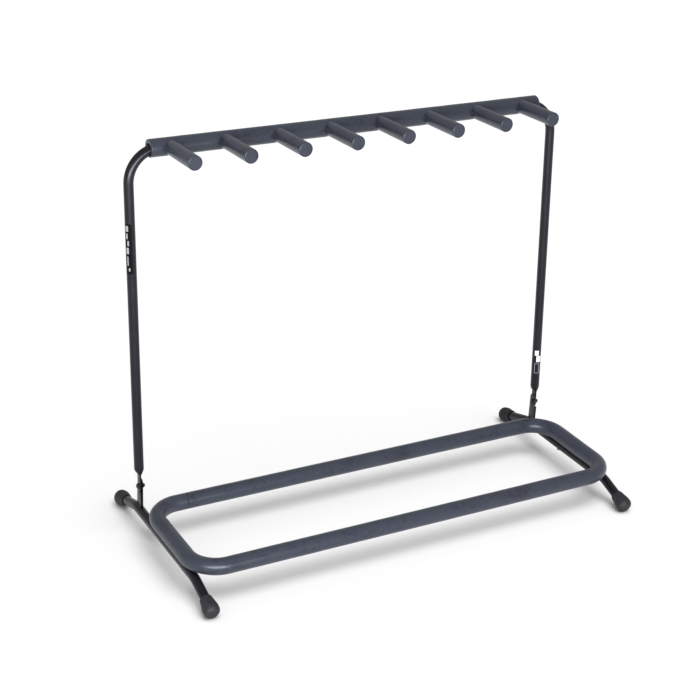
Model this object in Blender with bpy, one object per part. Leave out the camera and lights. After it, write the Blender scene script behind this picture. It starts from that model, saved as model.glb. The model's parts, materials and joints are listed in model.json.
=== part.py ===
"""Floor rack for seven guitars: bent steel tube, foam sleeves and a folding neck frame.

The base is two bent leg tubes with rubber caps that carry a padded ring, the tray.
The neck frame is one inverted U of tube whose crushed ends turn on a bolt at each leg.
Eight padded pegs on its top bar part the necks.  Metres, +Z up, the pegs point to -Y,
and the origin lies on the floor midway between the feet.
"""
from math import ceil, copysign, cos, pi, radians, sin, sqrt

import bmesh
import bpy
from mathutils import Matrix, Vector

# Driving dimensions, in metres
PEG_COUNT = 8
PEG_PITCH = 0.092            # centre to centre of two pegs
PEG_REACH = 0.1021           # bar axis to the front end of a peg
PEG_RISE = radians(2.4)      # pegs point this much above level
BAR_HEIGHT = 0.6403          # floor to the axis of the top bar
BAR_FOAM_MARGIN = 0.0333     # outermost peg axis to the end of the bar sleeve
BAR_END_TO_UPRIGHT = 0.0347  # end of the bar sleeve to the axis of an upright
BAR_BEND = 0.0526            # bend radius of the neck frame, at the tube's axis
FRAME_LEAN = radians(3.84)   # the neck frame leans back this much when it stands

TUBE_OD = 0.016
TUBE_WALL = 0.0015
ROD_OD = 0.012
ROD_WALL = 0.001
BAR_FOAM_WALL = 0.0063
PEG_FOAM_WALL = 0.0057
PEG_FOAM_END = 0.006         # thickness of the closed end of a peg grip
PEG_FOAM_EDGE = 0.0012       # rounding of that end
TRAY_FOAM_WALL = 0.0056
FOAM_SQUASH = 0.0015         # the legs press this deep into the tray foam

LEG_SPAN = 0.3692            # front foot to rear foot, between their ball centres
LEG_HEIGHT = 0.0333          # floor to the axis of a leg's level run
FRONT_FOOT_RUN = 0.0616      # level length of the leg's sloping ends
REAR_FOOT_RUN = 0.0691
LEG_BEND = 0.06
TRAY_BEND = 0.0484
TRAY_FRONT_INSET = 0.0452    # front foot to the axis of the tray's front run
TRAY_TO_HINGE = 0.035        # axis of the tray's rear run to the hinge pin
TRAY_SEAM_INSET = 0.067      # left side run to the butt joint in the rear run
JOINER_LENGTH = 0.032

HINGE_INSET = 0.0828         # rear foot to the hinge pin
HINGE_RISE = 0.0458          # leg axis to the hinge pin
TAB_WIDTH = 0.012            # crushed tube end, front to back
TAB_SLIT = 0.0002            # left between the two crushed walls
TAB_HEEL = 0.008             # pin to the square heel that stops the frame
TAPER_START = 0.020          # above the pin, where the crushed end opens out
TAPER_END = 0.0325           # above the pin, where the tube is round again
TAB_SQUARENESS = 0.4         # 1 is an ellipse, and 0 a rectangle
BRACKET_SHEET = 0.0012
BRACKET_SLOT = 0.0018        # between the bracket's two walls
BRACKET_DEPTH = 0.016
BRACKET_TOP = 0.014          # the inner cheek rises this far above the pin
BRACKET_CORNER = 0.006
PIN_R = 0.0025
BOLT_HEAD_R = 0.0047
BOLT_HEAD_H = 0.0028
WASHER_R = 0.0052
WASHER_H = 0.0008
NUT_FLATS = 0.008
NUT_H = 0.0042

SCREW_R = 0.002
SCREW_HEAD_R = 0.0042
SCREW_HEAD_H = 0.0022
SCREW_END_INSET = 0.009      # from the tray's bend to the nearest screw

CAP_R = 0.0132               # widest radius of a rubber foot
CAP_WALL = 0.0016            # rubber wall at the mouth
CAP_FLARE = 0.0185            # mouth to the widest place
CAP_LENGTH = 0.0328
CAP_BALL = 0.0225             # mouth to the ball centre
CAP_ROUND = 0.0085
CAP_AXIS_HEIGHT = 0.0127     # floor to the leg axis at the ball centre

GAP = 0.0003                 # kept between pieces that touch
TUBE_SIDES = 16
SMALL_SIDES = 12
ROD_SIDES = 12
BEND_STEP = radians(18.1)
TAPER_STEPS = 5
FLARE_STEPS = 4

# Worked-out places
TUBE_R = TUBE_OD / 2
ROD_R = ROD_OD / 2
BAR_FOAM_R = TUBE_R + BAR_FOAM_WALL
PEG_FOAM_R = ROD_R + PEG_FOAM_WALL
TRAY_FOAM_R = TUBE_R + TRAY_FOAM_WALL
BAR_HALF = (PEG_COUNT - 1) / 2 * PEG_PITCH + BAR_FOAM_MARGIN
FRAME_X = BAR_HALF + BAR_END_TO_UPRIGHT
TAB_THICK = 2 * TUBE_WALL + TAB_SLIT
BRACKET_WIDTH = 2 * BRACKET_SHEET + BRACKET_SLOT
CHEEK_OUTER_X = FRAME_X - TAB_THICK / 2 - GAP
LEG_X = CHEEK_OUTER_X - BRACKET_SHEET + BRACKET_WIDTH / 2
HINGE_Y = LEG_SPAN / 2 - HINGE_INSET
HINGE_Z = LEG_HEIGHT + HINGE_RISE
FRAME_LENGTH = (BAR_HEIGHT - HINGE_Z) / cos(FRAME_LEAN)
TRAY_Z = LEG_HEIGHT + TUBE_OD + TRAY_FOAM_WALL - FOAM_SQUASH
TRAY_FRONT_Y = -LEG_SPAN / 2 + TRAY_FRONT_INSET
TRAY_REAR_Y = HINGE_Y - TRAY_TO_HINGE
SEAM_X = -LEG_X + TRAY_SEAM_INSET
SCREW_FRONT_Y = TRAY_FRONT_Y + TRAY_BEND + SCREW_END_INSET
SCREW_REAR_Y = TRAY_REAR_Y - TRAY_BEND - SCREW_END_INSET


# Materials and objects

def make_material(name, colour, roughness, metallic=0.0):
    material = bpy.data.materials.new(name)
    material.use_nodes = True
    shader = material.node_tree.nodes["Principled BSDF"]
    shader.inputs["Base Color"].default_value = (*colour, 1.0)
    shader.inputs["Roughness"].default_value = roughness
    shader.inputs["Metallic"].default_value = metallic
    return material


def add_object(name, mesh, material=None, parent=None, matrix=None):
    """Link a mesh under a name, placed by a matrix in its parent's space."""
    thing = bpy.data.objects.new(name, mesh)
    bpy.context.scene.collection.objects.link(thing)
    thing.parent = parent
    thing.matrix_local = matrix or Matrix.Identity(4)
    if material:
        thing.data.materials.append(material)
    return thing


def add_cutter(name, mesh, parent=None, matrix=None):
    cutter = add_object(name, mesh, None, parent, matrix)
    cutter.hide_render = True
    cutter.display_type = "WIRE"
    return cutter


def cut(thing, cutter):
    modifier = thing.modifiers.new("cut " + cutter.name, "BOOLEAN")
    modifier.operation = "DIFFERENCE"
    modifier.object = cutter


def finish_mesh(bm, name):
    """Turn every face outwards and shade the round faces smooth."""
    bmesh.ops.recalc_face_normals(bm, faces=bm.faces)
    mesh = bpy.data.meshes.new(name)
    bm.to_mesh(mesh)
    bm.free()
    mesh.shade_smooth()
    mesh.set_sharp_from_angle(angle=radians(35))
    return mesh


# Shapes

def ring(bm, centre, across, along, half_across, half_along, squareness, sides):
    """A closed loop of vertices: a circle where squareness is 1, flatter below that."""
    loop = []
    for k in range(sides):
        angle = 2 * pi * (k + 0.5) / sides
        a = copysign(abs(cos(angle)) ** squareness, cos(angle)) * half_across
        b = copysign(abs(sin(angle)) ** squareness, sin(angle)) * half_along
        loop.append(bm.verts.new(centre + across * a + along * b))
    return loop


def join_rings(bm, first, second):
    sides = len(first)
    for k in range(sides):
        after = (k + 1) % sides
        bm.faces.new((first[k], first[after], second[after], second[k]))


def skin_rings(bm, outer, inner=None):
    """Skin a chain of rings, hollow if an inner chain is given, and close both ends."""
    for chain in (outer, inner or []):
        for first, second in zip(chain, chain[1:]):
            join_rings(bm, first, second)
    if inner:
        join_rings(bm, outer[0], inner[0])
        join_rings(bm, outer[-1], inner[-1])
    else:
        bm.faces.new(outer[0])
        bm.faces.new(outer[-1])


def rounded_path(corners, radius):
    """Places and directions along a line through corners, with each bend an arc."""
    path = [(corners[0], (corners[1] - corners[0]).normalized())]
    for before, corner, after in zip(corners, corners[1:], corners[2:]):
        into = (corner - before).normalized()
        out_of = (after - corner).normalized()
        turn = into.angle(out_of)
        setback = radius * sin(turn / 2) / cos(turn / 2)
        side = (out_of - into * into.dot(out_of)).normalized()
        start = corner - into * setback
        steps = max(2, ceil(turn / BEND_STEP))
        for k in range(steps + 1):
            angle = turn * k / steps
            place = start + into * radius * sin(angle) + side * radius * (1 - cos(angle))
            path.append((place, into * cos(angle) + side * sin(angle)))
    path.append((corners[-1], (corners[-1] - corners[-2]).normalized()))
    return path


def tube_mesh(name, path, normal, outer_r, inner_r=None, sides=TUBE_SIDES):
    """A round tube, or a rod, along a path that lies in the plane square to normal."""
    bm = bmesh.new()
    chains = []
    for radius in (outer_r, inner_r):
        if radius:
            chains.append([ring(bm, place, direction.cross(normal), normal, radius, radius,
                                1.0, sides) for place, direction in path])
    skin_rings(bm, *chains)
    return finish_mesh(bm, name)


def turned_mesh(name, profile, sides):
    """Turn a closed outline of (radius, height) points about Z."""
    bm = bmesh.new()
    wheel = [[] for _ in profile]
    for k in range(sides):
        angle = 2 * pi * (k + 0.5) / sides
        for row, (radius, height) in zip(wheel, profile):
            if radius > 0:
                row.append(bm.verts.new((radius * cos(angle), radius * sin(angle), height)))
            elif not row:
                row.append(bm.verts.new((0, 0, height)))
    closed = profile[0][0] > 0
    pairs = list(zip(wheel, wheel[1:])) + ([(wheel[-1], wheel[0])] if closed else [])
    for first, second in pairs:
        if len(first) == 1 or len(second) == 1:
            tip, rim = (first[0], second) if len(first) == 1 else (second[0], first)
            for k in range(sides):
                bm.faces.new((tip, rim[k], rim[(k + 1) % sides]))
        else:
            join_rings(bm, first, second)
    return finish_mesh(bm, name)


def arc(centre, radius, start, end, steps):
    """(radius, height) points on a quarter-round of a turned outline."""
    points = []
    for k in range(steps + 1):
        angle = start + (end - start) * k / steps
        points.append((centre[0] + radius * cos(angle), centre[1] + radius * sin(angle)))
    return points


def cylinder_mesh(name, radius, start, end, sides=TUBE_SIDES):
    return turned_mesh(name, [(0, start), (radius, start), (radius, end), (0, end)], sides)


def plate_mesh(name, outline, low, high):
    """Extrude an outline of (y, z) points along X, from low to high."""
    bm = bmesh.new()
    base = bm.faces.new([bm.verts.new((low, y, z)) for y, z in outline])
    swept = bmesh.ops.extrude_face_region(bm, geom=[base])["geom"]
    moved = [v for v in swept if isinstance(v, bmesh.types.BMVert)]
    bmesh.ops.translate(bm, verts=moved, vec=(high - low, 0, 0))
    return finish_mesh(bm, name)


def box_mesh(name, low, high):
    return plate_mesh(name, [(low[1], low[2]), (high[1], low[2]), (high[1], high[2]),
                             (low[1], high[2])], low[0], high[0])


def joined_meshes(name, meshes_and_matrices):
    """One mesh of several separate bodies, for a cutter that makes several holes."""
    bm = bmesh.new()
    for mesh, matrix in meshes_and_matrices:
        copy = mesh.copy()
        copy.transform(matrix)
        bm.from_mesh(copy)
        bpy.data.meshes.remove(copy)
    mesh = bpy.data.meshes.new(name)
    bm.to_mesh(mesh)
    bm.free()
    return mesh


ALONG_X = Matrix.Rotation(pi / 2, 4, "Y")


def aimed(place, direction):
    """A matrix that moves the origin to place and turns +Z to direction."""
    turn = direction.to_track_quat("Z", "Y").to_matrix().to_4x4()
    return Matrix.Translation(place) @ turn


# Neck frame

def tab_section(height):
    """Front, rear and squareness of the uprights' section at a height above the pin.

    The crushed end is a flat tab whose lower front is round about the pin, so that it
    can fold forward, and whose square heel behind stops it upright.
    """
    half = TAB_WIDTH / 2
    front = -half
    if height < 0:
        front = -min(half, sqrt(max(0.0, (TAB_HEEL + GAP) ** 2 - height ** 2)))
    return front, half


def frame_stations():
    """Sections of an upright's crushed end, from the heel to the round tube:
    height above the pin, front, rear, half thickness and squareness."""
    heights = [-TAB_HEEL, -0.86 * TAB_HEEL, -0.68 * TAB_HEEL, 0.0, TAPER_START]
    taper = TAPER_END - TAPER_START
    heights += [TAPER_START + taper * k / TAPER_STEPS for k in range(1, TAPER_STEPS + 1)]
    stations = []
    for height in heights:
        t = min(1.0, max(0.0, (height - TAPER_START) / taper))
        blend = t * t * (3 - 2 * t)
        front, rear = tab_section(height)
        front += (-TUBE_R - front) * blend
        rear += (TUBE_R - rear) * blend
        thick = TAB_THICK / 2 + (TUBE_R - TAB_THICK / 2) * blend
        squareness = TAB_SQUARENESS + (1 - TAB_SQUARENESS) * blend
        stations.append((height, front, rear, thick, squareness))
    return stations


def frame_mesh():
    """The inverted U, hollow all the way, in the frame's own space: pin axis on X."""
    bm = bmesh.new()
    normal = Vector((0, 1, 0))
    stations = frame_stations()
    corners = [Vector((-FRAME_X, 0, TAPER_END)), Vector((-FRAME_X, 0, FRAME_LENGTH)),
               Vector((FRAME_X, 0, FRAME_LENGTH)), Vector((FRAME_X, 0, TAPER_END))]
    bends = rounded_path(corners, BAR_BEND)[1:-1]
    outer, inner = [], []

    def end_rings(side, up, sections):
        for height, front, rear, thick, square in sections:
            centre = Vector((side * FRAME_X, (front + rear) / 2, height))
            half = (rear - front) / 2
            across = up.cross(normal)
            outer.append(ring(bm, centre, across, normal, thick, half, square, TUBE_SIDES))
            inner.append(ring(bm, centre, across, normal, thick - TUBE_WALL,
                              half - TUBE_WALL, square, TUBE_SIDES))

    end_rings(-1, Vector((0, 0, 1)), stations)
    for place, direction in bends:
        across = direction.cross(normal)
        for chain, radius in ((outer, TUBE_R), (inner, TUBE_R - TUBE_WALL)):
            chain.append(ring(bm, place, across, normal, radius, radius, 1.0, TUBE_SIDES))
    end_rings(1, Vector((0, 0, -1)), stations[::-1])
    skin_rings(bm, outer, inner)
    return finish_mesh(bm, "neck_frame_tube")


def build_neck_frame(steel, foam):
    pivot = bpy.data.objects.new("neck_frame_pivot", None)
    bpy.context.scene.collection.objects.link(pivot)
    pivot.location = (0, HINGE_Y, HINGE_Z)
    pivot.rotation_euler = (-FRAME_LEAN, 0, 0)

    tube = add_object("neck_frame_tube", frame_mesh(), steel, pivot)
    reach = FRAME_X + TUBE_OD
    pin_hole = cylinder_mesh("pin_hole", PIN_R + GAP, -reach, reach, SMALL_SIDES)
    cut(tube, add_cutter("pin_hole", pin_hole, pivot, ALONG_X))

    bar_axis = Vector((0, 0, FRAME_LENGTH))
    along_bar = Matrix.Translation(bar_axis) @ ALONG_X
    bore = TUBE_R + 2 * GAP
    sleeve = tube_mesh("top_bar_foam", [(Vector((-BAR_HALF, 0, 0)), Vector((1, 0, 0))),
                                        (Vector((BAR_HALF, 0, 0)), Vector((1, 0, 0)))],
                       Vector((0, 1, 0)), BAR_FOAM_R, bore, TUBE_SIDES)
    sleeve = add_object("top_bar_foam", sleeve, foam, pivot, Matrix.Translation(bar_axis))
    drop = 2 * BAR_BEND
    room = rounded_path([Vector((-FRAME_X, 0, FRAME_LENGTH - drop)),
                         Vector((-FRAME_X, 0, FRAME_LENGTH)),
                         Vector((FRAME_X, 0, FRAME_LENGTH)),
                         Vector((FRAME_X, 0, FRAME_LENGTH - drop))], BAR_BEND)
    room = tube_mesh("bend_room", room, Vector((0, 1, 0)), TUBE_R + GAP)
    cut(sleeve, add_cutter("bend_room", room, pivot))

    # Pegs: a rod coped onto the bar, under a foam grip that sits on the bar's sleeve
    slope = PEG_RISE - FRAME_LEAN
    direction = Vector((0, -cos(slope), sin(slope)))
    rod_end = PEG_REACH - PEG_FOAM_END - GAP
    rod = [(ROD_R, 0), (ROD_R, rod_end), (ROD_R - ROD_WALL, rod_end), (ROD_R - ROD_WALL, 0)]
    rod = turned_mesh("peg_rod", rod, ROD_SIDES)
    rod.materials.append(steel)
    grip_bore = ROD_R + GAP
    edge = (PEG_FOAM_R - PEG_FOAM_EDGE, PEG_REACH - PEG_FOAM_EDGE)
    grip = [(0, PEG_REACH)] + arc(edge, PEG_FOAM_EDGE, pi / 2, 0, 2)
    grip += [(PEG_FOAM_R, TUBE_R), (grip_bore, TUBE_R), (grip_bore, PEG_REACH - PEG_FOAM_END),
             (0, PEG_REACH - PEG_FOAM_END)]
    grip = turned_mesh("peg_foam", grip, TUBE_SIDES)
    grip.materials.append(foam)
    cope = cylinder_mesh("cope", TUBE_R + GAP, -BAR_HALF, BAR_HALF)
    cope = add_cutter("cope", cope, pivot, along_bar)
    saddle = cylinder_mesh("saddle", BAR_FOAM_R + GAP, -BAR_HALF, BAR_HALF)
    saddle = add_cutter("saddle", saddle, pivot, along_bar)
    places = []
    for k in range(PEG_COUNT):
        x = (k - (PEG_COUNT - 1) / 2) * PEG_PITCH
        places.append(aimed(bar_axis + Vector((x, 0, 0)), direction))
        peg_rod = add_object(f"peg_rod_{k + 1}", rod, None, pivot, places[-1])
        cut(peg_rod, cope)
        peg_foam = add_object(f"peg_foam_{k + 1}", grip, None, pivot, places[-1])
        cut(peg_foam, saddle)
    hole = cylinder_mesh("rod_hole", ROD_R + GAP, 0, PEG_REACH / 2, ROD_SIDES)
    holes = joined_meshes("rod_holes", [(hole, place) for place in places])
    cut(sleeve, add_cutter("rod_holes", holes, pivot))


# Base

def leg_path():
    half = LEG_SPAN / 2
    level = Vector((0, 0, LEG_HEIGHT))
    front_knee = Vector((0, -half + FRONT_FOOT_RUN, 0)) + level
    rear_knee = Vector((0, half - REAR_FOOT_RUN, 0)) + level
    front_ball = Vector((0, -half, CAP_AXIS_HEIGHT))
    rear_ball = Vector((0, half, CAP_AXIS_HEIGHT))
    return front_ball, front_knee, rear_knee, rear_ball


def cap_profile():
    """Outline of a rubber foot, turned about Z, mouth at the bottom and end on top."""
    bore = TUBE_R + GAP
    mouth = bore + CAP_WALL
    shoulder = CAP_LENGTH - CAP_ROUND
    outline = [(0, CAP_LENGTH)] + arc((CAP_R - CAP_ROUND, shoulder), CAP_ROUND, pi / 2, 0, 4)
    for k in range(FLARE_STEPS, -1, -1):
        t = k / FLARE_STEPS
        outline.append((mouth + (CAP_R - mouth) * sin(t * pi / 2) ** 1.5, CAP_FLARE * t))
    outline += [(bore, 0), (bore, CAP_BALL), (0, CAP_BALL)]
    return outline


def build_leg(side, label, steel, rubber):
    x = side * LEG_X
    shift = Matrix.Translation((x, 0, 0))
    front_ball, front_knee, rear_knee, rear_ball = leg_path()
    path = rounded_path([front_ball, front_knee, rear_knee, rear_ball], LEG_BEND)
    normal = Vector((1, 0, 0))
    leg = tube_mesh("leg_tube_" + label, path, normal, TUBE_R, TUBE_R - TUBE_WALL)
    leg = add_object("leg_tube_" + label, leg, steel, None, shift)
    for y, place in ((SCREW_FRONT_Y, "front"), (SCREW_REAR_Y, "rear")):
        hole = cylinder_mesh("screw_hole", SCREW_R + GAP, -TUBE_OD, TUBE_OD, SMALL_SIDES)
        spot = Matrix.Translation((x, y, LEG_HEIGHT))
        cut(leg, add_cutter(f"screw_hole_{place}_{label}", hole, None, spot))

    # Each cap is pushed on until the tube's end meets the floor of its bore
    floor = box_mesh("floor_cut", (-CAP_LENGTH, -CAP_LENGTH, -CAP_LENGTH),
                     (CAP_LENGTH, CAP_LENGTH, 0))
    for ball, knee, place in ((front_ball, front_knee, "front"), (rear_ball, rear_knee, "rear")):
        outward = (ball - knee).normalized()
        mouth = ball - outward * (CAP_BALL - GAP) + Vector((x, 0, 0))
        name = f"foot_cap_{place}_{label}"
        cap = turned_mesh(name, cap_profile(), TUBE_SIDES)
        cap = add_object(name, cap, rubber, None, aimed(mouth, outward))
        below = Matrix.Translation((x, ball.y, 0))
        cut(cap, add_cutter("floor_cut_" + name, floor, None, below))


def tray_path(clearance):
    corners = [(SEAM_X - clearance, TRAY_REAR_Y), (-LEG_X, TRAY_REAR_Y), (-LEG_X, TRAY_FRONT_Y),
               (LEG_X, TRAY_FRONT_Y), (LEG_X, TRAY_REAR_Y), (SEAM_X + clearance, TRAY_REAR_Y)]
    return rounded_path([Vector((x, y, TRAY_Z)) for x, y in corners], TRAY_BEND)


def build_tray(steel, foam):
    up = Vector((0, 0, 1))
    path = tray_path(GAP / 2)
    tube = tube_mesh("tray_tube", path, up, TUBE_R, TUBE_R - TUBE_WALL, SMALL_SIDES)
    tube = add_object("tray_tube", tube, steel)
    pad = tube_mesh("tray_foam", path, up, TRAY_FOAM_R, TUBE_R + GAP)
    pad = add_object("tray_foam", pad, foam)
    joiner_r = TUBE_R - TUBE_WALL - GAP
    joiner = cylinder_mesh("tray_joiner", joiner_r, -JOINER_LENGTH / 2, JOINER_LENGTH / 2)
    seam = Matrix.Translation((SEAM_X, TRAY_REAR_Y, TRAY_Z)) @ ALONG_X
    add_object("tray_joiner", joiner, steel, None, seam)

    # The legs lie in grooves that they press into the foam
    groove = rounded_path(list(leg_path()), LEG_BEND)
    groove = tube_mesh("leg_groove", groove, Vector((1, 0, 0)), TUBE_R + GAP)
    shifts = [(groove, Matrix.Translation((side * LEG_X, 0, 0))) for side in (-1, 1)]
    cut(pad, add_cutter("leg_grooves", joined_meshes("leg_grooves", shifts)))
    hole = cylinder_mesh("tray_screw_hole", SCREW_R + GAP, LEG_HEIGHT, TRAY_Z, SMALL_SIDES)
    spots = [(hole, Matrix.Translation((side * LEG_X, y, 0)))
             for side in (-1, 1) for y in (SCREW_FRONT_Y, SCREW_REAR_Y)]
    holes = add_cutter("tray_screw_holes", joined_meshes("tray_screw_holes", spots))
    cut(tube, holes)
    cut(pad, holes)


def build_tray_screws(steel):
    """Pan-head screws that go up through a leg and the foam into the tray tube."""
    head_top = LEG_HEIGHT - TUBE_R - GAP
    tip = TRAY_Z - TUBE_R + TUBE_WALL + SCREW_R
    low = head_top - SCREW_HEAD_H
    profile = [(0, low), (SCREW_HEAD_R * 0.8, low), (SCREW_HEAD_R, low + SCREW_HEAD_H / 2),
               (SCREW_HEAD_R, head_top), (SCREW_R, head_top), (SCREW_R, tip), (0, tip)]
    mesh = turned_mesh("tray_screw", profile, SMALL_SIDES)
    mesh.materials.append(steel)
    for side, label in ((-1, "left"), (1, "right")):
        for y, place in ((SCREW_FRONT_Y, "front"), (SCREW_REAR_Y, "rear")):
            spot = Matrix.Translation((side * LEG_X, y, 0))
            add_object(f"tray_screw_{place}_{label}", mesh, None, None, spot)


def cheek_outline(low, top):
    """Side view of the bracket's tall inner wall, round at both upper corners."""
    front = HINGE_Y - BRACKET_DEPTH / 2
    rear = HINGE_Y + BRACKET_DEPTH / 2
    outline = [(front, low), (rear, low)]
    steps = 4
    for centre_y, start in ((rear - BRACKET_CORNER, 0), (front + BRACKET_CORNER, pi / 2)):
        for k in range(steps + 1):
            angle = start + pi / 2 * k / steps
            outline.append((centre_y + BRACKET_CORNER * cos(angle),
                            top - BRACKET_CORNER + BRACKET_CORNER * sin(angle)))
    return outline


def build_hinge(side, label, steel, zinc):
    """The folded-sheet bracket welded on a leg, with the bolt that the frame turns on."""
    inner = side * (CHEEK_OUTER_X - BRACKET_SHEET)
    outer = inner + side * BRACKET_WIDTH
    cheek = inner + side * BRACKET_SHEET
    top = HINGE_Z + BRACKET_TOP
    heel_drop = TAB_HEEL * cos(FRAME_LEAN) + TAB_WIDTH / 2 * sin(FRAME_LEAN)
    ledge = HINGE_Z - heel_drop - GAP
    low_x, high_x = sorted((inner, outer))
    outline = cheek_outline(LEG_HEIGHT, top)
    bracket = plate_mesh("hinge_bracket_" + label, outline, low_x, high_x)
    bracket = add_object("hinge_bracket_" + label, bracket, steel)
    reach = BRACKET_DEPTH
    step = sorted((cheek, outer + side * reach))
    above = box_mesh("ledge_cut", (step[0], HINGE_Y - reach, ledge),
                     (step[1], HINGE_Y + reach, top + reach))
    cut(bracket, add_cutter("ledge_cut_" + label, above))
    slot = sorted((cheek, cheek + side * BRACKET_SLOT))
    web = HINGE_Y + BRACKET_DEPTH / 2 - BRACKET_SHEET
    slot = box_mesh("slot_cut", (slot[0], HINGE_Y - reach, LEG_HEIGHT - TUBE_R),
                    (slot[1], web, ledge + reach / 4))
    cut(bracket, add_cutter("slot_cut_" + label, slot))
    crown = cylinder_mesh("crown_cut", TUBE_R + GAP, HINGE_Y - reach, HINGE_Y + reach)
    along_y = Matrix.Translation((side * LEG_X, 0, LEG_HEIGHT)) @ Matrix.Rotation(-pi / 2, 4, "X")
    cut(bracket, add_cutter("crown_cut_" + label, crown, None, along_y))
    pin = cylinder_mesh("bracket_pin_hole", PIN_R + GAP, -reach, reach, SMALL_SIDES)
    pin_place = Matrix.Translation((inner, HINGE_Y, HINGE_Z)) @ ALONG_X
    cut(bracket, add_cutter("bracket_pin_hole_" + label, pin, None, pin_place))

    # The bolt goes in from -X on both legs: washer and head there, lock nut on +X
    faces = sorted((inner, side * (FRAME_X + TAB_THICK / 2)))
    head_side = faces[0] - GAP
    nut_side = faces[1] + GAP
    washer = [(PIN_R + GAP, 0), (WASHER_R, 0), (WASHER_R, WASHER_H), (PIN_R + GAP, WASHER_H)]
    washer = turned_mesh("pivot_washer_" + label, washer, TUBE_SIDES)
    spot = Matrix.Translation((head_side - WASHER_H, HINGE_Y, HINGE_Z)) @ ALONG_X
    add_object("pivot_washer_" + label, washer, zinc, None, spot)
    under_head = head_side - WASHER_H - GAP
    tip = nut_side + NUT_H + 5 * GAP - under_head
    bolt = [(0, -BOLT_HEAD_H), (BOLT_HEAD_R * 0.7, -BOLT_HEAD_H * 0.85),
            (BOLT_HEAD_R, -BOLT_HEAD_H * 0.3), (BOLT_HEAD_R, 0), (PIN_R, 0), (PIN_R, tip), (0, tip)]
    bolt = turned_mesh("pivot_bolt_" + label, bolt, SMALL_SIDES)
    spot = Matrix.Translation((under_head, HINGE_Y, HINGE_Z)) @ ALONG_X
    add_object("pivot_bolt_" + label, bolt, zinc, None, spot)
    corner = NUT_FLATS / 2 / cos(pi / 6)
    nut = cylinder_mesh("pivot_nut_" + label, corner, 0, NUT_H, 6)
    spot = Matrix.Translation((nut_side, HINGE_Y, HINGE_Z)) @ ALONG_X
    nut = add_object("pivot_nut_" + label, nut, zinc, None, spot)
    thread = cylinder_mesh("nut_bore", PIN_R + GAP, -NUT_H, 2 * NUT_H, SMALL_SIDES)
    cut(nut, add_cutter("nut_bore_" + label, thread, None, spot))


def build():
    for thing in list(bpy.data.objects):
        bpy.data.objects.remove(thing)
    steel = make_material("black powder-coated steel", (0.012, 0.012, 0.014), 0.35)
    zinc = make_material("black zinc-plated steel", (0.05, 0.05, 0.055), 0.4, 1.0)
    foam = make_material("charcoal foam rubber", (0.055, 0.06, 0.075), 0.75)
    rubber = make_material("black rubber", (0.03, 0.03, 0.032), 0.7)
    build_neck_frame(steel, foam)
    for side, label in ((-1, "left"), (1, "right")):
        build_leg(side, label, steel, rubber)
        build_hinge(side, label, steel, zinc)
    build_tray(steel, foam)
    build_tray_screws(zinc)


build()
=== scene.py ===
import json
from math import atan2, ceil, cos, exp, hypot, pi, radians, sin, sqrt

import bmesh
import bpy
import numpy as np
from mathutils import Matrix, Vector

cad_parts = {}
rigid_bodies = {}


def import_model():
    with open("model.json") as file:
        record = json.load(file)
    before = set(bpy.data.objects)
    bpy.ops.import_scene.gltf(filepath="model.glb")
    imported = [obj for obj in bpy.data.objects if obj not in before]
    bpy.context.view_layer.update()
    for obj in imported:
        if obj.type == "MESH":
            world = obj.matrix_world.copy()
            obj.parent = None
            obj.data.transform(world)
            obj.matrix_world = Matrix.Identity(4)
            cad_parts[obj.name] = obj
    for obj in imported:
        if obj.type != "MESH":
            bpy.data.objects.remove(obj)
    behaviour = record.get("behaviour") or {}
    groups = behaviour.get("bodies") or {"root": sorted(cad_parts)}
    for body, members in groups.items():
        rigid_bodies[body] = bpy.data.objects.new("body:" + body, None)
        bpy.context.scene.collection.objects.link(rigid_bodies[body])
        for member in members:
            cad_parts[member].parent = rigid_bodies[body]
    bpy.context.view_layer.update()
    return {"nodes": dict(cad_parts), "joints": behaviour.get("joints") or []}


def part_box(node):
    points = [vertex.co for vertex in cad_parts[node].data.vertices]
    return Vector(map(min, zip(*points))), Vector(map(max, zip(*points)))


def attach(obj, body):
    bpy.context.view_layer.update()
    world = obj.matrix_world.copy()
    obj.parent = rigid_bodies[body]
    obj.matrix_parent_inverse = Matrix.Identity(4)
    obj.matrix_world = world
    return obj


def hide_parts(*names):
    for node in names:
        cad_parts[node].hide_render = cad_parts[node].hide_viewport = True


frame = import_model()
bpy.ops.object.select_all(action="DESELECT")
scene = bpy.context.scene


# Camera.  A long lens stands in front of the rack and to its left, above the top bar,
# and looks down on it.
LENS = 83.84
SENSOR = 36.0
CAMERA_PLACE = (-1.2495, -2.0807, 1.4181)
CAMERA_YAW = radians(29.542)
CAMERA_PITCH = radians(24.8)
CAMERA_ROLL = radians(2.835)

camera = bpy.data.objects.new("camera", bpy.data.cameras.new("camera"))
scene.collection.objects.link(camera)
turn = Matrix.Rotation(-CAMERA_YAW, 4, "Z") @ Matrix.Rotation(pi / 2 - CAMERA_PITCH, 4, "X")
turn = turn @ Matrix.Rotation(CAMERA_ROLL, 4, "Z")
camera.matrix_world = Matrix.Translation(CAMERA_PLACE) @ turn
camera.data.lens = LENS
camera.data.sensor_width = SENSOR
camera.data.shift_x = 0.0042
camera.data.shift_y = -0.0021
scene.camera = camera


# Studio.  White paper under a ceiling bank so wide and far off that it lights the floor
# evenly.  A strip box in front, flagged off the paper, gives the bars their long highlights.
FLOOR_SIZE = 60.0
STUDIO_WHITE = 0.5
CEILING_FROM = (0.12, -0.28, 1.0)
CEILING_STRENGTH = 2.15
CEILING_SPREAD = radians(55)
STRIP_PLACE = (-1.0, -2.3, 0.85)
STRIP_TARGET = (0, 0, 0.3)
STRIP_SIZE = (2.6, 0.5)
STRIP_WATTS = 115


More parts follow.
